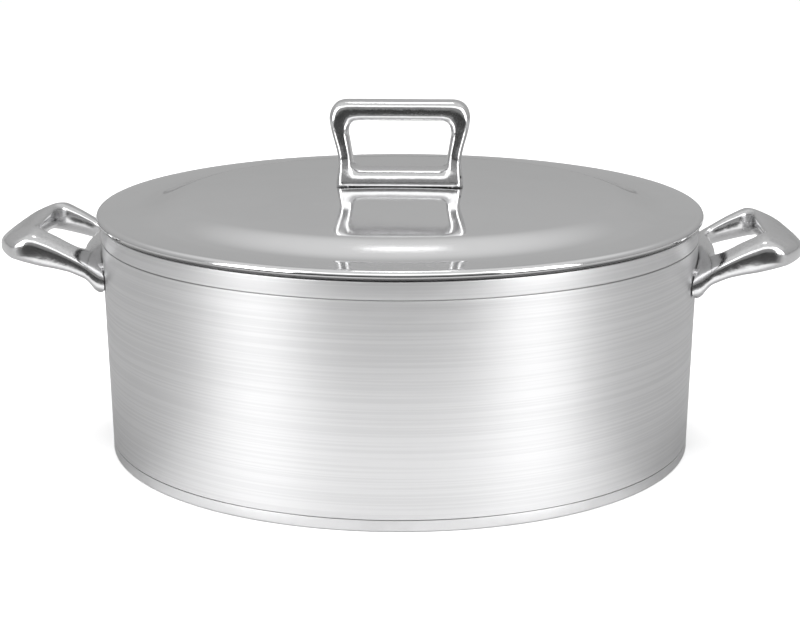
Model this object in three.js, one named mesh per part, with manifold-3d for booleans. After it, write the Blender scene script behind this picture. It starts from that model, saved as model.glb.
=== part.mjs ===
// Wide, low casserole pot with a lift-off lid. A drawn steel shell stands on a heat-spreading base, a pressed
// domed lid rests on the rim by its rolled edge, and one cast loop handle on the lid and one at each side are
// held by screws from the inside.
// Millimetres, +Z up. The origin is the centre of the face that the pot stands on, and the side handles lie
// along X.

import * as THREE from 'three';
import { mergeVertices } from 'three/addons/utils/BufferGeometryUtils.js';
import Module from 'manifold-3d';

const wasm = await Module();
wasm.setup();

// Fits
const gap = 0.3; // kept between pieces that touch
const fineSegments = 64; // round the pot and the lid
const smallSegments = 12; // round screws, washers and holes

// Pot
const rimHeight = 117.9;
const rimRadius = 151.6; // outside of the wall at the rim, and the inside there is 150.1
const footRadius = 148.3; // outside of the wall at the bottom
const potSheet = 1.5;
const footCut = { across: 0.7, up: 0.5 }; // broken edge at the bottom of the wall
const floorCorner = 9; // inside radius between wall and floor
const grooveHeight = 109.2;
const grooveDepth = 0.35;
const grooveHalfWidth = 0.4;

// Base
const baseHeight = 5.6;
const capSheet = 0.8;
const capCorner = 1.2;
const capLipCut = 0.3;
const coreTop = baseHeight - gap / 2;

// Lid
const lidRadius = 153.5;
const lidSheet = 1.0;
const lidTop = 133.7; // top of the dome at its centre
const domeRadius = 1279; // of the sphere that the dome is part of
const domeEdge = 109;
const shoulderEdge = 135.8; // where the shoulder runs out into the flat rim
const lidRimTop = 122.5;
const beadRadius = 2.25; // outside of the rolled edge
const beadRise = 0.3; // of the bead above the flat rim
const beadStart = 2.2; // from the bead's middle in to where the rim begins to rise
const beadTurn = 250; // degrees from the top of the bead round to its end
const ringRadius = 148; // outside of the locating ring's leg
const ringSheet = 0.9;
const ringFlange = 7;
const ringBottom = 111.5;

// Lid handle, in its own upright plane
const lidHandleLift = 0.4; // seam between the foot and the dome
const lidHandleTop = 42.3;
const lidHandleHalfWidth = 35.5;
const lidFootHalfWidth = 32.2;
const lidWaistHalfWidth = 31;
const lidWaistHeight = 10;
const lidHandleHalfDepth = 7.9;
const lidFootHalfDepth = 10.4;
const lidWindow = { low: 7.7, high: 32.2, halfWidth: 25.9, footHalfWidth: 23.8, corner: 5 };
const vent = { radius: 0.8, depth: 3, height: 4.5, back: -6.5, turn: 0.75 };

// Side handles: plan outline, and the heights of their upper and lower faces at distances from the pot's axis
const handleReach = 204.3;
const handleHalfWidth = 46.5;
const handleFootHalfWidth = 41;
const handleNose = { x: 192, y: 42 }; // where the curved end meets the rounded corner
const handleCornerStart = 172; // where the side begins to turn into that corner
const handleWindow = { near: 159.2, far: 182, halfWidth: 29, corner: 8, bow: 1 };
const handleCrown = { drop: 2.4, start: 26, end: 45 }; // the upper face falls by this much towards the sides
const handleUndercut = 5; // rise of the lower face towards the window
const handleTopLine = [
  [150, 99.9], [158, 104.9], [170, 112], [178.7, 116.3], [181.3, 116.9], [184.3, 116.2], [190, 113.8],
  [196, 110.9], [204.3, 106.4],
];
const handleBottomLine = [
  [146, 82.7], [150.3, 83.3], [152, 86.3], [154, 89.8], [157.2, 91.8], [163, 94.8], [170.3, 96.6],
  [177.2, 98], [184, 99.7], [190, 101], [204.3, 99.8],
];

// Screws and washers, all alike
const shankRadius = 2.4;
const holeRadius = 2.7;
const headRadius = 4.6;
const headHeight = 2.8;
const headRounding = 1.2;
const socketRadius = 1.75;
const socketDepth = 1.6;
const screwReach = 7.4; // past the outer face of the sheet
const holeReach = 9;
const tipCut = { across: 0.8, up: 1 };
const washerRadius = 6;
const washerThickness = 0.8;
const washerSeam = 1.3 * gap; // between the sheet and the washer
const headSeam = 1.1 * gap; // between the washer and the head
const sideScrewAngle = THREE.MathUtils.degToRad(13.2); // from the handle's centre line
const sideScrewHeight = 96;
const lidScrewOffset = 25.5;

const brushedSteel = { color: 0xc6c7c8, roughness: 0.34, metalness: 1 };
const polishedSteel = { color: 0xcbccce, roughness: 0.08, metalness: 1 };
const castSteel = { color: 0xc2c3c5, roughness: 0.16, metalness: 1 };
const aluminium = { color: 0xb9bcc0, roughness: 0.5, metalness: 1 };
const screwSteel = { color: 0xaeb0b3, roughness: 0.3, metalness: 1 };

function solidOf(geometry) {
  const bare = geometry.clone();
  bare.deleteAttribute('normal');
  bare.deleteAttribute('uv');
  const merged = mergeVertices(bare, 1e-3);
  const corners = merged.index.array;
  const triVerts = [];
  for (let i = 0; i < corners.length; i += 3) {
    const [a, b, c] = corners.slice(i, i + 3);
    if (a !== b && b !== c && c !== a) triVerts.push(a, b, c);
  }
  return new wasm.Manifold(new wasm.Mesh({
    numProp: 3,
    vertProperties: merged.attributes.position.array,
    triVerts: new Uint32Array(triVerts),
  }));
}

function cutFrom(geometry, cutters) {
  let solid = solidOf(geometry);
  for (const cutter of cutters) solid = solid.subtract(solidOf(cutter));
  const { vertProperties, triVerts } = solid.getMesh();
  const result = new THREE.BufferGeometry();
  result.setAttribute('position', new THREE.BufferAttribute(vertProperties, 3));
  result.setIndex(new THREE.BufferAttribute(triVerts, 1));
  result.computeVertexNormals();
  return result;
}

// A profile of radius and height, turned about the Z axis.
function turned(path, segments = fineSegments, arcSteps = 2) {
  return new THREE.LatheGeometry(path.getPoints(arcSteps), segments).rotateX(Math.PI / 2);
}

function rod(radius, length, sides = smallSegments) {
  return new THREE.CylinderGeometry(radius, radius, length, sides).rotateX(Math.PI / 2);
}

function wallRadius(z) {
  return footRadius + (rimRadius - footRadius) * z / rimHeight;
}

function domeHeight(radius) {
  return lidTop - domeRadius + Math.sqrt(domeRadius ** 2 - radius ** 2);
}

// Straight lines between points of distance and height.
function heightAlong(line, x) {
  const last = line.findIndex(([end]) => end >= x);
  const i = last < 0 ? line.length - 1 : Math.max(last, 1);
  return THREE.MathUtils.mapLinear(x, line[i - 1][0], line[i][0], line[i - 1][1], line[i][1]);
}

// Where a side handle's screw crosses the outer face of the wall, with its Z axis square to the wall.
function sideScrewPlace(handleTurn, side) {
  const radius = wallRadius(sideScrewHeight);
  const angle = handleTurn + side * sideScrewAngle;
  const taper = Math.atan((rimRadius - footRadius) / rimHeight);
  return new THREE.Matrix4()
    .makeRotationZ(angle)
    .multiply(new THREE.Matrix4().makeTranslation(radius, 0, sideScrewHeight))
    .multiply(new THREE.Matrix4().makeRotationY(taper + Math.PI / 2));
}

function lidScrewPlace(side) {
  return new THREE.Matrix4().makeTranslation(side * lidScrewOffset, 0, domeHeight(lidScrewOffset));
}

function potShell() {
  const floor = baseHeight + gap;
  const inside = (z) => wallRadius(z) - potSheet;
  const profile = new THREE.Path();
  profile.moveTo(0, floor);
  profile.lineTo(wallRadius(floor) - footCut.across, floor);
  profile.lineTo(wallRadius(floor), floor + footCut.up);
  profile.lineTo(wallRadius(grooveHeight - grooveHalfWidth), grooveHeight - grooveHalfWidth);
  profile.lineTo(wallRadius(grooveHeight) - grooveDepth, grooveHeight);
  profile.lineTo(wallRadius(grooveHeight + grooveHalfWidth), grooveHeight + grooveHalfWidth);
  const rimRound = potSheet / 2;
  profile.lineTo(rimRadius, rimHeight - rimRound);
  profile.absarc(rimRadius - rimRound, rimHeight - rimRound, rimRound, 0, Math.PI, false);
  const cornerHeight = floor + potSheet + floorCorner;
  profile.lineTo(inside(cornerHeight), cornerHeight);
  profile.absarc(inside(cornerHeight) - floorCorner, cornerHeight, floorCorner, 0, -Math.PI / 2, true);
  profile.lineTo(0, floor + potSheet);
  const holes = [];
  for (const handleTurn of [0, Math.PI]) {
    for (const side of [-1, 1]) {
      holes.push(rod(holeRadius, 8 * potSheet).applyMatrix4(sideScrewPlace(handleTurn, side)));
    }
  }
  return cutFrom(turned(profile), holes);
}

function baseCore() {
  const radius = wallRadius(0) - capSheet - 2 * gap;
  const profile = new THREE.Path();
  profile.moveTo(0, capSheet + gap);
  profile.lineTo(radius, capSheet + gap);
  profile.lineTo(radius, coreTop);
  profile.lineTo(0, coreTop);
  return turned(profile);
}

// A shallow steel pan round the core.
function baseCap() {
  const radius = wallRadius(baseHeight);
  const inside = radius - capSheet;
  const profile = new THREE.Path();
  profile.moveTo(0, 0);
  profile.lineTo(radius - capCorner, 0);
  profile.absarc(radius - capCorner, capCorner, capCorner, -Math.PI / 2, 0, false);
  profile.lineTo(radius, baseHeight - capLipCut);
  profile.lineTo(radius - capLipCut, baseHeight);
  profile.lineTo(inside, baseHeight);
  profile.lineTo(inside, capSheet);
  profile.lineTo(0, capSheet);
  return turned(profile);
}

function lidShell() {
  const bead = { x: lidRadius - beadRadius, z: lidRimTop + beadRise - beadRadius };
  const beadEnd = Math.PI / 2 - THREE.MathUtils.degToRad(beadTurn);
  const profile = new THREE.Path();
  profile.moveTo(0, lidTop - lidSheet);
  const domeSteps = [0, 0.3, 0.6, 1].map((part) => part * domeEdge);
  for (const radius of domeSteps.slice(1)) profile.lineTo(radius, domeHeight(radius) - lidSheet);
  const shoulder = (down) => [118, 128.5 - down, 125, lidRimTop - down, shoulderEdge, lidRimTop - down];
  profile.bezierCurveTo(...shoulder(lidSheet));
  profile.lineTo(bead.x - beadStart, lidRimTop - lidSheet);
  profile.absarc(bead.x, bead.z, beadRadius - lidSheet, Math.PI / 2, beadEnd, true);
  profile.absarc(bead.x, bead.z, beadRadius, beadEnd, Math.PI / 2, false);
  profile.lineTo(bead.x - beadStart, lidRimTop);
  const outer = new THREE.Path();
  outer.moveTo(domeEdge, domeHeight(domeEdge));
  outer.bezierCurveTo(...shoulder(0));
  for (const point of outer.getPoints(3).reverse()) profile.lineTo(point.x, point.y);
  for (const radius of domeSteps.reverse().slice(1)) profile.lineTo(radius, domeHeight(radius));
  const holes = [-1, 1].map((side) => rod(holeRadius, 8).applyMatrix4(lidScrewPlace(side)));
  return cutFrom(turned(profile, fineSegments, 3), holes);
}

// An angle ring under the lid's rim, whose leg keeps the lid centred in the pot.
function locatingRing() {
  const top = lidRimTop - lidSheet - gap;
  const outline = [
    [ringRadius - ringFlange, top - ringSheet],
    [ringRadius - ringSheet, top - ringSheet],
    [ringRadius - ringSheet, ringBottom],
    [ringRadius, ringBottom],
    [ringRadius, top],
    [ringRadius - ringFlange, top],
  ];
  const profile = new THREE.Path(outline.map(([r, z]) => new THREE.Vector2(r, z)));
  profile.closePath();
  return turned(profile);
}

// A closed cast loop: a round-edged section carried between two matching outlines. place() puts a point of
// the outline plane in space, from its share of the section's height, -1 to 1, and of its width, 0 to 1.
function castLoop(outer, inner, stations, roundness, place) {
  const sides = 10;
  const loop = new THREE.TorusGeometry(2, 1, sides, stations);
  const outerPoints = outer.getSpacedPoints(stations);
  const innerPoints = inner.getSpacedPoints(stations);
  const soften = (value) => Math.sign(value) * Math.abs(value) ** (2 / roundness);
  const { position, uv } = loop.attributes;
  for (let i = 0; i < position.count; i++) {
    const station = Math.round(uv.getX(i) * stations) % stations;
    const turn = (Math.round(uv.getY(i) * sides) % sides) / sides * 2 * Math.PI;
    const across = (1 + soften(Math.cos(turn))) / 2;
    const at = innerPoints[station].clone().lerp(outerPoints[station], across);
    const spot = place(at.x, at.y, soften(Math.sin(turn)), across);
    position.setXYZ(i, spot.x, spot.y, spot.z);
  }
  return loop;
}

function lidHandle() {
  const bottom = -3; // below the foot's flat face, so that the foot keeps its full depth down to that face
  const w = lidHandleHalfWidth;
  const outer = new THREE.Shape();
  outer.moveTo(0, lidHandleTop);
  outer.lineTo(9 - w, lidHandleTop);
  outer.bezierCurveTo(3 - w, lidHandleTop, -w, lidHandleTop - 4, -w, lidHandleTop - 9.5);
  outer.bezierCurveTo(0.6 - w, 25, -lidWaistHalfWidth, 18, -lidWaistHalfWidth, lidWaistHeight);
  outer.lineTo(-lidFootHalfWidth, 0);
  outer.lineTo(-lidFootHalfWidth, bottom);
  outer.lineTo(lidFootHalfWidth, bottom);
  outer.lineTo(lidFootHalfWidth, 0);
  outer.lineTo(lidWaistHalfWidth, lidWaistHeight);
  outer.bezierCurveTo(lidWaistHalfWidth, 18, w - 0.6, 25, w, lidHandleTop - 9.5);
  outer.bezierCurveTo(w, lidHandleTop - 4, w - 3, lidHandleTop, w - 9, lidHandleTop);
  outer.closePath();
  const { low, high, halfWidth, footHalfWidth, corner } = lidWindow;
  const inner = new THREE.Shape();
  inner.moveTo(0, high);
  inner.lineTo(corner - halfWidth, high);
  inner.quadraticCurveTo(-halfWidth, high, -halfWidth, high - corner - 2);
  inner.lineTo(-footHalfWidth, low + corner);
  inner.quadraticCurveTo(-footHalfWidth, low, corner - footHalfWidth, low);
  inner.lineTo(footHalfWidth - corner, low);
  inner.quadraticCurveTo(footHalfWidth, low, footHalfWidth, low + corner);
  inner.lineTo(halfWidth, high - corner - 2);
  inner.quadraticCurveTo(halfWidth, high, halfWidth - corner, high);
  inner.closePath();
  const foot = lidTop + lidHandleLift;
  const place = (x, height, share) => {
    const splay = THREE.MathUtils.smoothstep(14 - height, 0, 14);
    const depth = THREE.MathUtils.lerp(lidHandleHalfDepth, lidFootHalfDepth, splay);
    return new THREE.Vector3(x, -share * depth, foot + Math.max(height, 0));
  };
  const holes = [-1, 1].map((side) => {
    return rod(holeRadius, 2 * holeReach).applyMatrix4(lidScrewPlace(side));
  });
  const ventHole = rod(vent.radius, 2 * vent.depth, 8)
    .rotateX(Math.PI / 2)
    .rotateZ(vent.turn)
    .translate(lidFootHalfWidth - 1.2, vent.back, foot + vent.height);
  return cutFrom(castLoop(outer, inner, 44, 2.9, place), [...holes, ventHole]);
}

function sideHandle(handleTurn) {
  const wallSide = footRadius - 3; // inside the wall, and moved out onto it below
  const w = handleHalfWidth;
  const foot = handleFootHalfWidth;
  const nose = handleNose;
  const reach = handleReach;
  const outer = new THREE.Shape();
  outer.moveTo(reach, 0);
  outer.bezierCurveTo(reach, 16, nose.x + 5, nose.y - 9, nose.x, nose.y);
  outer.bezierCurveTo(nose.x - 3.5, w, nose.x - 10, w, handleCornerStart, w - 2);
  outer.lineTo(wallSide, foot);
  outer.lineTo(wallSide, -foot);
  outer.lineTo(handleCornerStart, 2 - w);
  outer.bezierCurveTo(nose.x - 10, -w, nose.x - 3.5, -w, nose.x, -nose.y);
  outer.bezierCurveTo(nose.x + 5, 9 - nose.y, reach, -16, reach, 0);
  const { near, far, halfWidth, corner, bow } = handleWindow;
  const inner = new THREE.Shape();
  inner.moveTo(far, 0);
  inner.lineTo(far, halfWidth - corner);
  inner.quadraticCurveTo(far, halfWidth, far - corner, halfWidth);
  inner.lineTo(near + corner, halfWidth);
  inner.quadraticCurveTo(near - bow, halfWidth, near - bow, halfWidth - corner);
  inner.quadraticCurveTo(near + bow, 0, near - bow, corner - halfWidth);
  inner.quadraticCurveTo(near - bow, -halfWidth, near + corner, -halfWidth);
  inner.lineTo(far - corner, -halfWidth);
  inner.quadraticCurveTo(far, -halfWidth, far, corner - halfWidth);
  inner.closePath();
  const { drop, start, end } = handleCrown;
  const place = (x, y, share, across) => {
    const top = heightAlong(handleTopLine, x) - drop * THREE.MathUtils.smoothstep(Math.abs(y), start, end);
    const bottom = heightAlong(handleBottomLine, x) + handleUndercut * (1 - across) ** 2;
    const z = (top + bottom) / 2 + share * (top - bottom) / 2;
    const out = Math.max(1, (wallRadius(z) + gap) / Math.hypot(x, y));
    return new THREE.Vector3(x * out, y * out, z);
  };
  const holes = [-1, 1].map((side) => {
    const hole = rod(holeRadius, 2 * holeReach); // also reaches out of the foot into the wall
    return hole.applyMatrix4(sideScrewPlace(0, side));
  });
  return cutFrom(castLoop(outer, inner, 48, 3.2, place), holes).rotateZ(handleTurn);
}

// Along its own Z axis, with the outer face of the sheet at zero and the head below it.
function screw(sheet) {
  const seat = -sheet - washerSeam - washerThickness - headSeam;
  const profile = new THREE.Path();
  profile.moveTo(0, seat - headHeight);
  profile.lineTo(headRadius - headRounding, seat - headHeight);
  profile.absarc(headRadius - headRounding, seat - headHeight + headRounding, headRounding, -Math.PI / 2, 0);
  profile.lineTo(headRadius, seat);
  profile.lineTo(shankRadius, seat);
  profile.lineTo(shankRadius, screwReach - tipCut.up);
  profile.lineTo(shankRadius - tipCut.across, screwReach);
  profile.lineTo(0, screwReach);
  const socket = rod(socketRadius, 2 * socketDepth, 6).translate(0, 0, seat - headHeight);
  return cutFrom(turned(profile, smallSegments), [socket]);
}

function washer(sheet) {
  const bottom = -sheet - washerSeam - washerThickness;
  const top = bottom + washerThickness;
  const profile = new THREE.Path();
  profile.moveTo(holeRadius, bottom);
  profile.lineTo(washerRadius - 0.2, bottom);
  profile.lineTo(washerRadius, bottom + 0.2);
  profile.lineTo(washerRadius, top);
  profile.lineTo(holeRadius, top);
  profile.closePath();
  return turned(profile, smallSegments);
}

function piece(name, geometry, look) {
  const mesh = new THREE.Mesh(geometry, new THREE.MeshStandardMaterial(look));
  mesh.name = name;
  return mesh;
}

function fixings(owner, sheet, placeOf) {
  const group = new THREE.Group();
  for (const [sideName, side] of [['a', -1], ['b', 1]]) {
    const parts = [
      piece(`${owner}_screw_${sideName}`, screw(sheet), screwSteel),
      piece(`${owner}_washer_${sideName}`, washer(sheet), screwSteel),
    ];
    for (const part of parts) {
      part.applyMatrix4(placeOf(side));
      group.add(part);
    }
  }
  return group;
}

const pot = new THREE.Group();
pot.add(piece('pot_shell', potShell(), brushedSteel));
pot.add(piece('base_core', baseCore(), aluminium));
pot.add(piece('base_cap', baseCap(), brushedSteel));
for (const [name, handleTurn] of [['right_handle', 0], ['left_handle', Math.PI]]) {
  pot.add(piece(name, sideHandle(handleTurn), castSteel));
  pot.add(fixings(name, potSheet, (side) => sideScrewPlace(handleTurn, side)));
}

const lid = new THREE.Group();
lid.add(piece('lid_shell', lidShell(), polishedSteel));
lid.add(piece('lid_locating_ring', locatingRing(), brushedSteel));
lid.add(piece('lid_handle', lidHandle(), castSteel));
lid.add(fixings('lid_handle', lidSheet, lidScrewPlace));

const casserole = new THREE.Group();
casserole.add(pot, lid);

export default casserole;
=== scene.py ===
import bpy
import bmesh
import math
from mathutils import Matrix, Vector
from mathutils.geometry import interpolate_bezier


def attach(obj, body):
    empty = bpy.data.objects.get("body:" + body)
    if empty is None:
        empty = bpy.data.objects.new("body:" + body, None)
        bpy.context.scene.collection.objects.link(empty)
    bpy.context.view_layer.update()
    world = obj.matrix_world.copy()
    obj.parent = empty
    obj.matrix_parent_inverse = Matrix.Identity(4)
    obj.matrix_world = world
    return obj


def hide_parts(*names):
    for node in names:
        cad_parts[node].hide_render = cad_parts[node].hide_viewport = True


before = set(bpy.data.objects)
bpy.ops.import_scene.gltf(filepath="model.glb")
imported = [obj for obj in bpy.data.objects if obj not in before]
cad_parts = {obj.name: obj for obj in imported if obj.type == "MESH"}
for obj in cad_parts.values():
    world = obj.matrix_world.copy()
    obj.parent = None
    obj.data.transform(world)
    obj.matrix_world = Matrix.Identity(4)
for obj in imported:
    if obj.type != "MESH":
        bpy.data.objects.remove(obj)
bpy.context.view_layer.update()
mm = 0.001
turnSteps = 240  # round the pot and the lid
print("frame loaded with", len(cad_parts), "nodes")


# A socket that can be used in sums.
class Signal:
    def __init__(self, look, socket):
        self.look = look
        self.socket = socket

    def maths(self, operation, *values):
        return self.look.add("Math", {"operation": operation}, dict(enumerate(values)))

    def __add__(self, other):
        return self.maths("ADD", self, other)

    def __radd__(self, other):
        return self.maths("ADD", other, self)

    def __sub__(self, other):
        return self.maths("SUBTRACT", self, other)

    def __rsub__(self, other):
        return self.maths("SUBTRACT", other, self)

    def __mul__(self, other):
        return self.maths("MULTIPLY", self, other)

    def __rmul__(self, other):
        return self.maths("MULTIPLY", other, self)

    def between(self, low, high):
        return self.look.add("MapRange", {"interpolation_type": "SMOOTHSTEP"}, {0: self, 1: low, 2: high})


# A node tree under construction, of a material or of the sky.
class Look:
    def __init__(self, owner):
        owner.use_nodes = True
        self.owner = owner
        self.tree = owner.node_tree

    def add(self, kind, settings=None, sockets=None, output=0):
        node = self.tree.nodes.new("ShaderNode" + kind)
        for name, value in (settings or {}).items():
            setattr(node, name, value)
        for name, value in (sockets or {}).items():
            self.feed(node.inputs[name], value)
        return Signal(self, node.outputs[output])

    def feed(self, socket, value):
        if isinstance(value, Signal):
            self.tree.links.new(value.socket, socket)
        else:
            socket.default_value = value

    def noise(self, stretch, scale=1.0, detail=2.0, roughness=0.5, shift=(0, 0, 0)):
        spot = self.add("TexCoord", output="Object")
        spot = self.add("Mapping", {}, {"Vector": spot, "Scale": stretch, "Location": shift})
        settings = {"Vector": spot, "Scale": scale, "Detail": detail, "Roughness": roughness}
        return self.add("TexNoise", {}, settings)

    def height(self):
        parts = self.add("SeparateXYZ", {}, {0: self.add("TexCoord", output="Object")})
        return Signal(self, parts.socket.node.outputs["Z"])

    def tint(self, amount, low, high):
        return self.blend(amount, (*low, 1), (*high, 1))

    def blend(self, amount, low, high):
        return self.add("Mix", {"data_type": "RGBA"}, {0: amount, 6: low, 7: high}, 2)


# A metal that takes its varying values as signals and the rest as plain numbers.
class Metal(Look):
    def __init__(self, name):
        super().__init__(bpy.data.materials.new(name))
        self.shader = self.tree.nodes["Principled BSDF"]
        self.feed(self.shader.inputs["Metallic"], 1.0)

    def set(self, **values):
        for name, value in values.items():
            self.feed(self.shader.inputs[name.replace("_", " ")], value)

    def bump(self, height, depth, under=None):
        sockets = {"Height": height, "Distance": depth * mm, "Strength": 1.0}
        if under:
            sockets["Normal"] = under
        return self.add("Bump", {}, sockets)


# A wire of corners at (radius, height) or (radius, height, rounding), in millimetres.
def wire(corners, closed=False, segments=6):
    bm = bmesh.new()
    verts = [bm.verts.new((corner[0] * mm, 0, corner[1] * mm)) for corner in corners]
    for first, second in zip(verts, verts[1:] + verts[:1] * closed):
        bm.edges.new((first, second))
    for corner, vert in zip(corners, verts):
        if len(corner) > 2:
            bmesh.ops.bevel(bm, geom=[vert], offset=corner[2] * mm, offset_type="OFFSET",
                            segments=segments, profile=0.5, affect="VERTICES", material=-1)
    return bm


# The wire turned once round the Z axis, with its seam and its poles closed.
def turn(bm, steps=turnSteps):
    bmesh.ops.spin(bm, geom=bm.verts[:] + bm.edges[:], cent=(0, 0, 0), axis=(0, 0, 1),
                   angle=2 * math.pi, steps=steps, use_merge=True)
    bmesh.ops.remove_doubles(bm, verts=bm.verts, dist=0.001 * mm)
    bmesh.ops.recalc_face_normals(bm, faces=bm.faces)
    return bm


# Points along bezier runs, each run given by its four points, without repeating the joints.
def bezierRun(runs, steps=12):
    points = []
    for run in runs:
        a, b, c, d = [Vector(point) for point in run]
        points += interpolate_bezier(a, b, c, d, steps + 1)[1 if points else 0:]
    return points


# The same line with equal distances between its points.
def evenly(points, count):
    lengths = [0.0]
    for first, second in zip(points, points[1:]):
        lengths.append(lengths[-1] + (second - first).length)
    result = []
    spot = 0
    for i in range(count + 1):
        wanted = lengths[-1] * i / count
        while spot < len(points) - 2 and lengths[spot + 1] < wanted:
            spot += 1
        share = (wanted - lengths[spot]) / (lengths[spot + 1] - lengths[spot])
        result.append(points[spot].lerp(points[spot + 1], share))
    return result


# A mesh piece that rides on a body and stands for a CAD node.
def addPiece(name, bm, metal, body, node, sharpAngle=38):
    mesh = bpy.data.meshes.new(name)
    bm.to_mesh(mesh)
    bm.free()
    mesh.shade_smooth()
    mesh.set_sharp_from_angle(angle=math.radians(sharpAngle))
    mesh.materials.append(metal.owner)
    piece = bpy.data.objects.new(name, mesh)
    bpy.context.scene.collection.objects.link(piece)
    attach(piece, body)
    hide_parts(node)
    return piece


def addModifier(piece, kind, **settings):
    modifier = piece.modifiers.new(kind.lower(), kind)
    for name, value in settings.items():
        setattr(modifier, name, value)


# Pot wall and floor, drawn in one sheet
pot = {
    "rimHeight": 117.9, "rimRadius": 151.6, "footRadius": 148.3, "sheet": 1.5,
    "floor": 5.9, "footRounding": 0.2, "innerCorner": 9, "rimRounding": 0.74,
    "grooveHeight": 109.2, "grooveHalfWidth": 0.45, "grooveDepth": 0.35,
    "grooveEdge": 0.12, "grooveBottom": 0.15,
}

# Steels
steel = {
    "wallColour": (0.74, 0.74, 0.745),
    "lidColour": (0.78, 0.78, 0.785),
    "castColour": (0.76, 0.76, 0.765),
    "screwColour": (0.66, 0.66, 0.67),
    "aluminium": (0.72, 0.73, 0.74),
    # grooveShade is the half width of the painted shade along the wall's groove; the bead shade heights
    # bound the painted shade under the lid's rolled edge.
    "grooveShade": 0.6, "beadShadeLow": 119.2, "beadShadeHigh": 120.8,
}


def darker(colour, share):
    return tuple(part * share for part in colour)


# Satin steel with fine brushing round the wall, wider streaks, a few soft smudges, and painted shade in a
# dark line along the groove.
def brushedSteel():
    metal = Metal("brushedSteel")
    hair = metal.noise((7, 7, 2400), detail=3, roughness=0.65)
    streak = metal.noise((3, 3, 260), detail=3, roughness=0.6, shift=(0.3, 0.1, 0.7))
    line = metal.noise((6, 6, 900), detail=1, shift=(0.6, 0.9, 0.1)).between(0.35, 0.65)
    patch = metal.noise((9, 9, 9), detail=2, shift=(1.3, 0.6, 0.2)).between(0.35, 0.65)
    smudge = metal.noise((16, 16, 60), detail=3, roughness=0.6, shift=(2.1, 0.4, 0.2)).between(0.52, 0.72)
    scratch = metal.noise((30, 30, 4200), detail=1, shift=(0.8, 0.2, 0.4)).between(0.62, 0.78)
    shade = streak * 0.35 + line * 0.3 + hair * 0.2 + patch * 0.15
    colour = metal.tint(shade.between(0.25, 0.75), darker(steel["wallColour"], 0.91), steel["wallColour"])
    height = metal.height()
    middle, reach = pot["grooveHeight"] * mm, steel["grooveShade"] * mm
    # Painted shade: the wall's colour darkens in a band along the groove, where shade falls in the recess.
    groove = height.between(middle - reach, middle) * (1 - height.between(middle, middle + reach))
    metal.set(
        Base_Color=metal.blend(groove, colour, (*darker(steel["wallColour"], 0.3), 1)),
        Roughness=0.37 + hair * 0.09 + streak * 0.08 + smudge * 0.05 - scratch * 0.06,
        Anisotropic=0.6,
        Anisotropic_Rotation=0.25,
        Normal=metal.bump(hair, 0.005, metal.bump(line, 0.005, metal.bump(streak, 0.012))),
    )
    return metal


# Steel polished bright, with a faint bloom and hairline wipe marks, and painted shade under the rolled edge.
def polishedSteel():
    metal = Metal("polishedSteel")
    bloom = metal.noise((14, 14, 14), detail=4, roughness=0.6).between(0.4, 0.7)
    wipe = metal.noise((900, 60, 300), detail=2)
    colour = metal.tint(bloom, steel["lidColour"], darker(steel["lidColour"], 0.965))
    # Painted shade: below the bead's middle the colour goes nearly black, where shade falls under the rolled
    # edge. The ring under the lid has this material and is painted dark as well.
    under = 1 - metal.height().between(steel["beadShadeLow"] * mm, steel["beadShadeHigh"] * mm)
    metal.set(
        Base_Color=metal.blend(under, colour, (*darker(steel["lidColour"], 0.12), 1)),
        Roughness=0.06 + bloom * 0.035 + wipe * 0.02,
    )
    return metal


# Castings polished by hand, so that they keep a faint unevenness and fine pitting. The vent is a black spot
# of painted shade, standing for the dark inside of its hole.
def castSteel(name, ventPlace=None, ventRadius=0.8):
    metal = Metal(name)
    swell = metal.noise((1, 1, 1), scale=60, detail=1, roughness=0.4)
    lump = metal.noise((1, 1, 1), scale=210, detail=2, roughness=0.5)
    pit = metal.noise((1, 1, 1), scale=1100, detail=3, roughness=0.65)
    colour = metal.tint(pit.between(0.3, 0.7), darker(steel["castColour"], 0.86), steel["castColour"])
    if ventPlace:
        spot = metal.add("TexCoord", output="Object")
        sockets = {0: spot, 1: tuple(Vector(ventPlace) * mm)}
        away = metal.add("VectorMath", {"operation": "DISTANCE"}, sockets, 1)
        # Painted shade: a black disc where the inside of the vent hole would be dark.
        ventShadeSpot = 1 - away.between(ventRadius * 0.8 * mm, ventRadius * 1.2 * mm)
        colour = metal.blend(ventShadeSpot, colour, (0.01, 0.01, 0.01, 1))
    metal.set(
        Base_Color=colour,
        Roughness=0.10 + pit * 0.08 + lump * 0.03,
        Normal=metal.bump(pit, 0.010, metal.bump(lump, 0.09, metal.bump(swell, 0.3))),
    )
    return metal


# Steel turned on a lathe: rings round the axis on flat faces and round the edge alike.
def turnedSteel():
    metal = Metal("turnedSteel")
    spot = metal.add("TexCoord", output="Object")
    flat = metal.add("VectorMath", {"operation": "MULTIPLY"}, {0: spot, 1: (1, 1, 0)})
    across = metal.add("VectorMath", {"operation": "LENGTH"}, {0: flat}, 1)
    perMetre = 1900
    rings = metal.add("CombineXYZ", {}, {0: across * perMetre, 1: metal.height() * perMetre, 2: 0.5})
    ring = metal.add("TexNoise", {}, {"Vector": rings, "Scale": 1.0, "Detail": 3.0})
    wear = metal.noise((22, 22, 22), detail=4, roughness=0.6).between(0.45, 0.75)
    metal.set(
        Base_Color=metal.tint(wear, steel["wallColour"], darker(steel["wallColour"], 0.88)),
        Roughness=0.26 + ring * 0.1 + wear * 0.1,
        Anisotropic=0.6,
        Anisotropic_Rotation=0.25,
        Normal=metal.bump(ring, 0.01),
    )
    return metal


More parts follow.
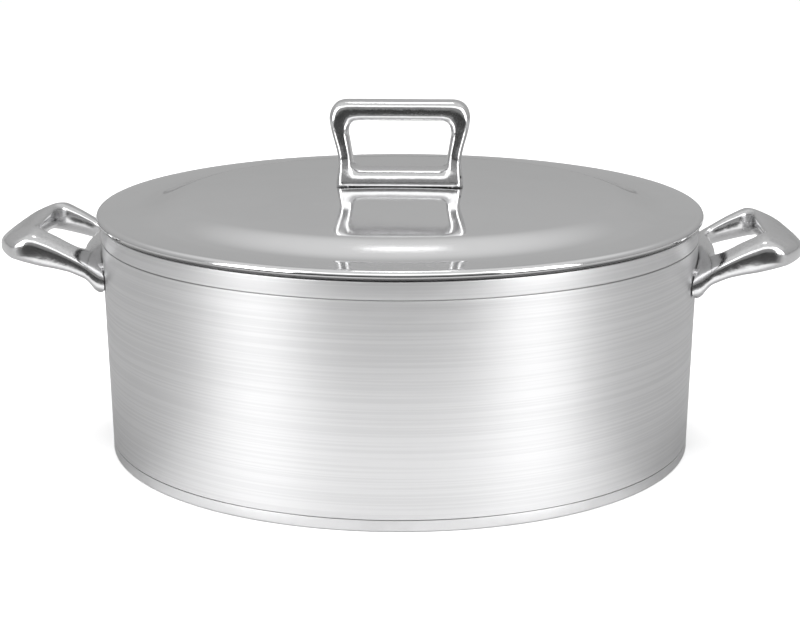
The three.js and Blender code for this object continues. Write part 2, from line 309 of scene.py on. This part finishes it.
def turnedAluminium():
    metal = Metal("turnedAluminium")
    ring = metal.noise((60, 60, 60), scale=8, detail=3)
    metal.set(
        Base_Color=metal.tint(ring, darker(steel["aluminium"], 0.9), steel["aluminium"]),
        Roughness=0.38 + ring * 0.15,
        Normal=metal.bump(ring, 0.02),
    )
    return metal


def screwSteel():
    metal = Metal("screwSteel")
    grain = metal.noise((1, 1, 1), scale=1400, detail=3)
    metal.set(
        Base_Color=metal.tint(grain, darker(steel["screwColour"], 0.9), steel["screwColour"]),
        Roughness=0.2 + grain * 0.14,
        Normal=metal.bump(grain, 0.008),
    )
    return metal


brushed = brushedSteel()
polished = polishedSteel()
cast = castSteel("castSteel")
castWithVent = castSteel("castSteelWithVent", (31, -8.2, 138.6))
turned = turnedSteel()
aluminium = turnedAluminium()
fastener = screwSteel()
print("metals made")


def wallRadius(height):
    return pot["footRadius"] + (pot["rimRadius"] - pot["footRadius"]) * height / pot["rimHeight"]


def potShell():
    floor, sheet, groove, half = pot["floor"], pot["sheet"], pot["grooveHeight"], pot["grooveHalfWidth"]
    bm = turn(wire([
        (0, floor),
        (wallRadius(floor), floor, pot["footRounding"]),
        (wallRadius(groove - half), groove - half, pot["grooveEdge"]),
        (wallRadius(groove) - pot["grooveDepth"], groove, pot["grooveBottom"]),
        (wallRadius(groove + half), groove + half, pot["grooveEdge"]),
        (pot["rimRadius"], pot["rimHeight"], pot["rimRounding"]),
        (pot["rimRadius"] - sheet, pot["rimHeight"], pot["rimRounding"]),
        (wallRadius(floor) - sheet, floor + sheet, pot["innerCorner"]),
        (0, floor + sheet),
    ]))
    return addPiece("potShell", bm, brushed, "pot", "pot_shell")


potShell()

# Pan that closes the base
cap = {"height": 5.6, "sheet": 0.8, "bottomRounding": 1.2, "innerRounding": 0.4, "lipRounding": 0.12}


def baseCap():
    radius = wallRadius(cap["height"])
    bm = turn(wire([
        (0, 0),
        (radius, 0, cap["bottomRounding"]),
        (radius, cap["height"], cap["lipRounding"]),
        (radius - cap["sheet"], cap["height"], cap["lipRounding"]),
        (radius - cap["sheet"], cap["sheet"], cap["innerRounding"]),
        (0, cap["sheet"]),
    ]))
    return addPiece("baseCap", bm, turned, "pot", "base_cap")


baseCap()
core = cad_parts["base_core"]
for slot in core.material_slots:
    slot.material = aluminium.owner
print("pot and base made")

# Pressed lid: a shallow dome, a shoulder, a narrow flat rim and a rolled edge
lid = {
    "top": 133.7, "domeEdge": 109, "domeEdgeHeight": 129.05, "domeSlope": 0.0852,
    "shoulderBend": 9, "shoulderFoot": 16, "shoulderEdge": 135.8, "rimTop": 122.5, "sheet": 1.0,
    "radius": 153.5, "beadRadius": 2.25, "beadRise": 0.3, "beadTurn": 200, "beadSteps": 20,
    "beadApproach": ((3.2, 0), (2.2, 0.02), (1.1, 0.17)),
}


def domeHeight(radius):
    return lid["top"] - radius ** 2 * lid["domeSlope"] / lid["domeEdge"] / 2


def lidShell():
    top, edge, edgeHeight = lid["top"], lid["domeEdge"], lid["domeEdgeHeight"]
    slope, rim = lid["domeSlope"], lid["rimTop"]
    third, bend = edge / 3, lid["shoulderBend"]
    dome = ((0, top), (third, top), (2 * third, edgeHeight + slope * third), (edge, edgeHeight))
    shoulder = ((edge, edgeHeight), (edge + bend, edgeHeight - bend * slope),
                (edge + lid["shoulderFoot"], rim), (lid["shoulderEdge"], rim))
    points = [tuple(point) for point in bezierRun([dome, shoulder], 18)]
    beadAcross = lid["radius"] - lid["beadRadius"]
    beadUp = rim + lid["beadRise"] - lid["beadRadius"]
    points += [(beadAcross - before, rim + rise) for before, rise in lid["beadApproach"]]
    bm = wire(points)
    crown = bm.verts.new((beadAcross * mm, 0, (rim + lid["beadRise"]) * mm))
    bm.verts.ensure_lookup_table()
    bm.edges.new((bm.verts[-2], crown))
    bmesh.ops.spin(bm, geom=[crown], cent=(beadAcross * mm, 0, beadUp * mm), axis=(0, 1, 0),
                   angle=math.radians(lid["beadTurn"]), steps=lid["beadSteps"])
    turn(bm)
    piece = addPiece("lidShell", bm, polished, "lid", "lid_shell", 60)
    addModifier(piece, "SOLIDIFY", thickness=lid["sheet"] * mm, offset=-1, use_even_offset=True)
    return piece


lidShell()

# Angle ring under the lid's rim
ring = {
    "radius": 148, "sheet": 0.9, "flange": 7, "bottom": 111.5, "top": 121.2,
    "edgeRounding": 0.2, "legRounding": 0.4, "bendRounding": 1.1,
}


def locatingRing():
    radius, sheet, top = ring["radius"], ring["sheet"], ring["top"]
    edge, leg = ring["edgeRounding"], ring["legRounding"]
    bm = turn(wire([
        (radius - ring["flange"], top - sheet, edge),
        (radius - sheet, top - sheet, leg),
        (radius - sheet, ring["bottom"], leg),
        (radius, ring["bottom"], leg),
        (radius, top, ring["bendRounding"]),
        (radius - ring["flange"], top, edge),
    ], closed=True, segments=4))
    return addPiece("locatingRing", bm, polished, "lid", "lid_locating_ring")


locatingRing()
print("lid made")


def softened(value, roundness):
    return math.copysign(abs(value) ** (2 / roundness), value)


# A sheet of stations by sides, wrapped into a closed loop by the place of each of its points.
def castLoop(stations, sides, place):
    bm = bmesh.new()
    bmesh.ops.create_grid(bm, x_segments=stations, y_segments=sides, size=0.5)
    for vert in bm.verts:
        station = round((vert.co.x + 0.5) * stations) % stations
        side = round((vert.co.y + 0.5) * sides) % sides
        vert.co = place(station, 2 * math.pi * side / sides)
    bmesh.ops.remove_doubles(bm, verts=bm.verts, dist=0.001 * mm)
    bmesh.ops.recalc_face_normals(bm, faces=bm.faces)
    return bm


# Both halves of an outline whose first half is given from its middle line round to its middle line.
def mirrored(points, axis):
    turnedOver = [Vector([-part if i == axis else part for i, part in enumerate(point)]) for point in points]
    return points + turnedOver[::-1][1:]


def smoothShare(value, low, high):
    share = min(max((value - low) / (high - low), 0), 1)
    return share * share * (3 - 2 * share)


# Lid handle
lidHandle = {
    "lift": 0.4, "top": 42.3, "halfWidth": 35.5, "footHalfWidth": 32.2, "waistHalfWidth": 31,
    "waistHeight": 10, "halfDepth": 7.9, "footHalfDepth": 10.4, "splayHeight": 14, "roundness": 3.6,
    "shoulder": 9, "shoulderEase": 4, "shoulderDrop": 9.5, "sideIn": 0.6, "sideHigh": 25, "sideLow": 18,
    "windowLow": 7.7, "windowHigh": 32.2, "windowHalfWidth": 25.9, "windowFootHalfWidth": 23.8, "corner": 5,
    "windowSag": 2, "below": 3, "stations": 160, "sides": 40,
}


def makeLidHandle():
    h = lidHandle
    top, w, foot, waist, low = h["top"], h["halfWidth"], h["footHalfWidth"], h["waistHalfWidth"], -h["below"]
    bend, drop, waistHeight = h["shoulder"], top - h["shoulderDrop"], h["waistHeight"]
    outer = mirrored(bezierRun([
        ((0, top), (bend - w, top), (bend - w, top), (bend - w, top)),
        ((bend - w, top), (bend / 3 - w, top), (-w, top - h["shoulderEase"]), (-w, drop)),
        ((-w, drop), (h["sideIn"] - w, h["sideHigh"]), (-waist, h["sideLow"]), (-waist, waistHeight)),
        ((-waist, waistHeight), (-waist, waistHeight), (-foot, 0), (-foot, 0)),
        ((-foot, 0), (-foot, 0), (-foot, low), (-foot, low)),
        ((-foot, low), (-foot, low), (0, low), (0, low)),
    ]), 0)
    wide, wideFoot, high = h["windowHalfWidth"], h["windowFootHalfWidth"], h["windowHigh"]
    lowIn, c, sag = h["windowLow"], h["corner"], h["windowSag"]
    inner = mirrored(bezierRun([
        ((0, high), (0, high), (c - wide, high), (c - wide, high)),
        ((c - wide, high), (c / 3 - wide, high), (-wide, high - sag), (-wide, high - c - sag)),
        ((-wide, high - c - sag), (-wide, high - c - sag), (-wideFoot, lowIn + c), (-wideFoot, lowIn + c)),
        ((-wideFoot, lowIn + c), (-wideFoot, lowIn + c / 3),
         (c / 3 - wideFoot, lowIn), (c - wideFoot, lowIn)),
        ((c - wideFoot, lowIn), (c - wideFoot, lowIn), (0, lowIn), (0, lowIn)),
    ]), 0)
    outer = evenly(outer, h["stations"])
    inner = evenly(inner, h["stations"])
    base = lid["top"] + h["lift"]

    def place(station, angle):
        across = (1 + softened(math.cos(angle), h["roundness"])) / 2
        x, z = inner[station].lerp(outer[station], across)
        splay = 1 - smoothShare(z, 0, h["splayHeight"])
        depth = h["halfDepth"] + (h["footHalfDepth"] - h["halfDepth"]) * splay
        y = -depth * softened(math.sin(angle), h["roundness"])
        return Vector((x, y, base + max(z, 0))) * mm

    bm = castLoop(h["stations"], h["sides"], place)
    return addPiece("lidHandle", bm, castWithVent, "lid", "lid_handle", 50)


makeLidHandle()

# Side handles: plan outline, and heights of the upper and lower faces at distances from the pot's axis
sideHandle = {
    "reach": 204.3, "halfWidth": 46.5, "footHalfWidth": 41,
    "noseAcross": 192, "noseSide": 42, "tipEase": 16, "noseEase": (5, 9), "cornerEase": (3.5, 12),
    "cornerStart": 172, "cornerDrop": 2, "sink": 3,
    "windowNear": 159.2, "windowFar": 182, "windowHalfWidth": 29, "corner": 8, "bow": 1, "bowEase": 2,
    "crownDrop": 2.4, "crownStart": 26, "crownEnd": 45, "undercut": 5, "gap": 0.3,
    "roundness": 3.8, "toeRoundness": 2.4, "toeStart": 154, "toeEnd": 166,
    "topLine": ((140, 93), (150, 99.9), (158, 104.9), (170, 112), (178.7, 116.3), (181.3, 116.9),
                (184.3, 116.2), (190, 113.8), (196, 110.9), (204.3, 106.4)),
    "bottomLine": ((140, 82.2), (146, 82.7), (150.3, 83.3), (152, 86.3), (154, 89.8), (157.2, 91.8),
                   (163, 94.8), (170.3, 96.6), (177.2, 98), (184, 99.7), (190, 101), (204.3, 99.8)),
    "stations": 200, "sides": 48,
}


# Height at x along a line of points, with its corners eased over a few millimetres.
def heightAlong(line, x, ease=1.6):
    def straight(spot):
        for (startX, startZ), (endX, endZ) in zip(line, line[1:]):
            if spot <= endX or endX == line[-1][0]:
                return startZ + (endZ - startZ) * (spot - startX) / (endX - startX)
    spots = [x + ease * step for step in (-1, -0.5, 0, 0.5, 1)]
    return sum(map(straight, spots)) / len(spots)


def makeSideHandle(name, node, angleRound):
    h = sideHandle
    reach, w, foot, start = h["reach"], h["halfWidth"], h["footHalfWidth"], h["cornerStart"]
    noseX, noseY, wall = h["noseAcross"], h["noseSide"], pot["footRadius"] - h["sink"]
    easeX, easeY = h["noseEase"]
    cornerNear, cornerFar = h["cornerEase"]
    side = w - h["cornerDrop"]
    outer = mirrored(bezierRun([
        ((reach, 0), (reach, h["tipEase"]), (noseX + easeX, noseY - easeY), (noseX, noseY)),
        ((noseX, noseY), (noseX - cornerNear, w), (noseX - cornerFar, w), (start, side)),
        ((start, side), (start, side), (wall, foot), (wall, foot)),
        ((wall, foot), (wall, foot), (wall, 0), (wall, 0)),
    ]), 1)
    near, far, half, c = h["windowNear"], h["windowFar"], h["windowHalfWidth"], h["corner"]
    bow, ease = h["bow"], h["bowEase"]
    inner = mirrored(bezierRun([
        ((far, 0), (far, 0), (far, half - c), (far, half - c)),
        ((far, half - c), (far, half - c / 3), (far - c / 3, half), (far - c, half)),
        ((far - c, half), (far - c, half), (near + c, half), (near + c, half)),
        ((near + c, half), (near + ease, half), (near - bow, half - ease), (near - bow, half - c)),
        ((near - bow, half - c), (near, half / 2), (near, 2), (near, 0)),
    ]), 1)
    outer = evenly(outer, h["stations"])
    inner = evenly(inner, h["stations"])

    def place(station, angle):
        lower = math.sin(angle) < 0
        middle = inner[station].lerp(outer[station], 0.5).x
        toe = (1 - smoothShare(middle, h["toeStart"], h["toeEnd"])) * lower
        roundness = h["roundness"] + (h["toeRoundness"] - h["roundness"]) * toe
        across = (1 + softened(math.cos(angle), roundness)) / 2
        x, y = inner[station].lerp(outer[station], across)
        crown = smoothShare(abs(y), h["crownStart"], h["crownEnd"])
        top = heightAlong(h["topLine"], x) - h["crownDrop"] * crown
        bottom = heightAlong(h["bottomLine"], x) + h["undercut"] * (1 - across) ** 2
        z = (top + bottom) / 2 + softened(math.sin(angle), roundness) * (top - bottom) / 2
        out = max(1, (wallRadius(z) + h["gap"]) / math.hypot(x, y))
        return Vector((x * out, y * out, z)) * mm

    bm = castLoop(h["stations"], h["sides"], place)
    bm.transform(Matrix.Rotation(angleRound, 4, "Z"))
    return addPiece(name, bm, cast, "pot", node, 50)


makeSideHandle("rightHandle", "right_handle", 0)
makeSideHandle("leftHandle", "left_handle", math.pi)
print("handles made")

# Screws and washers, all alike
screw = {
    "shankRadius": 2.4, "headRadius": 4.6, "headHeight": 2.8, "headRounding": 1.2,
    "socketRadius": 1.75, "socketDepth": 1.6, "socketRim": 0.5, "underRounding": 0.15,
    "reach": 7.4, "tipChamfer": 0.8, "seam": 0.72,
    "washerRadius": 6, "washerHole": 2.7, "washerThickness": 0.8, "washerSeam": 0.39,
    "washerRounding": 0.12, "washerWear": 0.2,
    "sideAngle": 13.2, "sideHeight": 96, "lidOffset": 25.5,
}


# Along Z, with the outer face of the sheet at zero and the head below it.
def screwShape(sheet):
    s = screw
    seat = -sheet - s["washerThickness"] - s["seam"]
    face = seat - s["headHeight"]
    bm = bmesh.new()
    bmesh.ops.create_circle(bm, cap_ends=True, segments=6, radius=s["socketRadius"] * mm)
    bmesh.ops.subdivide_edges(bm, edges=bm.edges, cuts=3)
    bmesh.ops.translate(bm, verts=bm.verts, vec=(0, 0, (face + s["socketDepth"]) * mm))
    edges = [edge for edge in bm.edges if edge.is_boundary]
    grown = bmesh.ops.extrude_edge_only(bm, edges=edges)["geom"]
    rim = [item for item in grown if isinstance(item, bmesh.types.BMVert)]
    bmesh.ops.translate(bm, verts=rim, vec=(0, 0, -s["socketDepth"] * mm))
    head = wire([
        (s["socketRadius"] + s["socketRim"], face),
        (s["headRadius"], face, s["headRounding"]),
        (s["headRadius"], seat, s["underRounding"]),
        (s["shankRadius"], seat),
        (s["shankRadius"], s["reach"], s["tipChamfer"]),
        (0, s["reach"]),
    ], segments=4)
    turn(head, 24)
    headMesh = bpy.data.meshes.new("head")
    head.to_mesh(headMesh)
    head.free()
    bm.from_mesh(headMesh)
    bpy.data.meshes.remove(headMesh)
    loops = [edge for edge in bm.edges if edge.is_boundary]
    bmesh.ops.bridge_loops(bm, edges=loops)
    bmesh.ops.recalc_face_normals(bm, faces=bm.faces)
    return bm


def washerShape(sheet):
    s = screw
    bottom = -sheet - s["washerThickness"] - s["washerSeam"]
    top = bottom + s["washerThickness"]
    rounding = s["washerRounding"]
    return turn(wire([
        (s["washerHole"], bottom, rounding), (s["washerRadius"], bottom, s["washerWear"]),
        (s["washerRadius"], top, rounding), (s["washerHole"], top, rounding),
    ], closed=True, segments=3), 36)


def addFixings(owner, node, body, sheet, placeOf):
    for letter, side in (("a", -1), ("b", 1)):
        for kind, shape in (("Screw", screwShape), ("Washer", washerShape)):
            bm = shape(sheet)
            bm.transform(placeOf(side))
            addPiece(f"{owner}{kind}{letter.upper()}", bm, fastener, body,
                     f"{node}_{kind.lower()}_{letter}", 40)


def sidePlace(angleRound):
    taper = math.atan((pot["rimRadius"] - pot["footRadius"]) / pot["rimHeight"])
    across = wallRadius(screw["sideHeight"])

    def place(side):
        angle = angleRound + side * math.radians(screw["sideAngle"])
        return (Matrix.Rotation(angle, 4, "Z")
                @ Matrix.Translation(Vector((across, 0, screw["sideHeight"])) * mm)
                @ Matrix.Rotation(taper + math.pi / 2, 4, "Y"))
    return place


def lidPlace(side):
    return Matrix.Translation(Vector((side * screw["lidOffset"], 0, domeHeight(screw["lidOffset"]))) * mm)


addFixings("rightHandle", "right_handle", "pot", pot["sheet"], sidePlace(0))
addFixings("leftHandle", "left_handle", "pot", pot["sheet"], sidePlace(math.pi))
addFixings("lidHandle", "lid_handle", "lid", lid["sheet"], lidPlace)
print("screws and washers made")

# Floor, sky, soft boxes, and a cloth round the pot that only shows in the steel, in metres
studio = {
    "floorRadius": 14, "floorColour": (0.92, 0.92, 0.92),
    "skyLow": 0.42, "skyMiddle": 0.5, "skyHigh": 0.8, "skyFront": 0.3, "skyFrontHigh": 1.8,
    "middleBand": (0, 0.4), "highBand": (0.4, 0.8), "frontBand": (0.45, 0.75), "frontTop": (0.7, 0.8),
    "frontRise": (0.32, 0.47), "aimHeight": 0.08,
    "boxGlow": 3.5, "boxWidth": 0.85, "boxHeight": 1.4, "boxDistance": 1.5, "boxRise": 0.75, "boxAim": 0.5,
    "leftAzimuth": -50, "rightAzimuth": 52,
    "topGlow": 5, "topSize": 0.36, "topPlace": (-0.02, 0.82, 1.7),
    "fillGlow": 3.2, "fillSize": 2.6, "fillHeight": 2.4,
    "clothStart": 0.147, "clothEnd": 13.5, "clothNear": (0.64, 0.64, 0.64), "clothDark": (0.03, 0.03, 0.03),
    "clothPale": (0.33, 0.33, 0.33), "clothRise": 0.0002, "clothFront": (0.35, 0.8),
    "darkStart": 0.32, "darkFull": 0.43,
}


def addFloor():
    bm = bmesh.new()
    bmesh.ops.create_circle(bm, cap_ends=True, segments=64, radius=studio["floorRadius"])
    mesh = bpy.data.meshes.new("floor")
    bm.to_mesh(mesh)
    bm.free()
    look = Look(bpy.data.materials.new("paleFloor"))
    shader = look.tree.nodes["Principled BSDF"]
    mottle = look.noise((1, 1, 1), scale=3)
    colour = studio["floorColour"]
    look.feed(shader.inputs["Base Color"], look.tint(mottle, darker(colour, 0.99), colour))
    look.feed(shader.inputs["Roughness"], 0.9)
    mesh.materials.append(look.owner)
    floor = bpy.data.objects.new("floor", mesh)
    bpy.context.scene.collection.objects.link(floor)


def addSky():
    world = bpy.data.worlds.new("studioSky")
    bpy.context.scene.world = world
    look = Look(world)
    direction = look.add("TexCoord", output="Generated")
    height = Signal(look, look.add("SeparateXYZ", {}, {0: direction}).socket.node.outputs[2])
    forward = -1 * Signal(look, look.add("SeparateXYZ", {}, {0: direction}).socket.node.outputs[1])
    low, middle, high = studio["skyLow"], studio["skyMiddle"], studio["skyHigh"]
    base = (low + (middle - low) * height.between(*studio["middleBand"])
            + (high - middle) * height.between(*studio["highBand"]))
    front = forward.between(*studio["frontBand"]) * (1 - height.between(*studio["frontTop"]))
    step = studio["skyFrontHigh"] - studio["skyFront"]
    frontGlow = studio["skyFront"] + step * height.between(*studio["frontRise"])
    glow = base + front * (frontGlow - base)
    background = look.tree.nodes["Background"]
    look.feed(background.inputs["Color"], (1, 1, 1, 1))
    look.feed(background.inputs["Strength"], glow)


def around(azimuth, distance, height):
    angle = math.radians(azimuth)
    return Vector((math.sin(angle) * distance, -math.cos(angle) * distance, height))


def facing(spot, target):
    return (target - spot).to_track_quat("-Z", "Y")


# The glow is the brightness of its face, so that its size can change freely.
def addSoftBox(name, spot, target, width, height, glow, shines=True):
    light = bpy.data.lights.new(name, "AREA")
    light.shape = "RECTANGLE"
    light.size = width
    light.size_y = height
    light.energy = glow * math.pi * width * height
    box = bpy.data.objects.new(name, light)
    box.location = spot
    box.rotation_mode = "QUATERNION"
    box.rotation_quaternion = facing(spot, target)
    box.visible_glossy = shines
    bpy.context.scene.collection.objects.link(box)


# A cloth on the floor that only shows in the steel, dark in front of the pot and paler round the back.
def addCloth():
    bm = bmesh.new()
    inner = bm.verts.new((studio["clothStart"], 0, studio["clothRise"]))
    outer = bm.verts.new((studio["clothEnd"], 0, studio["clothRise"]))
    bm.edges.new((inner, outer))
    turn(bm, 72)
    mesh = bpy.data.meshes.new("cloth")
    bm.to_mesh(mesh)
    bm.free()
    look = Look(bpy.data.materials.new("cloth"))
    shader = look.tree.nodes["Principled BSDF"]
    spot = look.add("TexCoord", output="Object")
    away = look.add("VectorMath", {"operation": "LENGTH"}, {0: spot}, 1)
    spot = look.add("VectorMath", {"operation": "NORMALIZE"}, {0: spot})
    forward = -1 * Signal(look, look.add("SeparateXYZ", {}, {0: spot}).socket.node.outputs[1])
    share = away.between(studio["darkStart"], studio["darkFull"])
    front = look.tint(share, studio["clothNear"], studio["clothDark"])
    shade = look.blend(forward.between(*studio["clothFront"]), (*studio["clothPale"], 1), front)
    look.feed(shader.inputs["Base Color"], shade)
    look.feed(shader.inputs["Roughness"], 1.0)
    look.feed(shader.inputs["Specular IOR Level"], 0.0)
    mesh.materials.append(look.owner)
    cloth = bpy.data.objects.new("cloth", mesh)
    bpy.context.scene.collection.objects.link(cloth)
    cloth.visible_camera = cloth.visible_diffuse = cloth.visible_shadow = False


def addStudio():
    addFloor()
    addSky()
    addCloth()
    middle = Vector((0, 0, studio["aimHeight"]))
    for name, azimuth in (("leftBox", studio["leftAzimuth"]), ("rightBox", studio["rightAzimuth"])):
        spot = around(azimuth, studio["boxDistance"], studio["boxRise"])
        aim = Vector((0, 0, studio["boxAim"]))
        addSoftBox(name, spot, aim, studio["boxWidth"], studio["boxHeight"], studio["boxGlow"])
    size, fill = studio["topSize"], studio["fillSize"]
    addSoftBox("topBox", Vector(studio["topPlace"]), middle, size, size, studio["topGlow"])
    above = Vector((0, 0, studio["fillHeight"]))
    addSoftBox("fill", above, middle, fill, fill, studio["fillGlow"], shines=False)


addStudio()

# Camera
view = {"azimuth": 2.4, "elevation": 14.2, "distance": 1.0745, "lens": 93.58, "target": (0, 0, 0.0646)}


def addCamera():
    lens = bpy.data.cameras.new("camera")
    lens.lens = view["lens"]
    lens.sensor_width = 36
    camera = bpy.data.objects.new("camera", lens)
    target = Vector(view["target"])
    rise = math.radians(view["elevation"])
    level, height = view["distance"] * math.cos(rise), view["distance"] * math.sin(rise)
    spot = target + around(view["azimuth"], level, height)
    camera.location = spot
    camera.rotation_mode = "QUATERNION"
    camera.rotation_quaternion = facing(spot, target)
    bpy.context.scene.collection.objects.link(camera)
    bpy.context.scene.camera = camera


addCamera()
bpy.context.scene.view_settings.view_transform = "Standard"
print("studio and camera set")
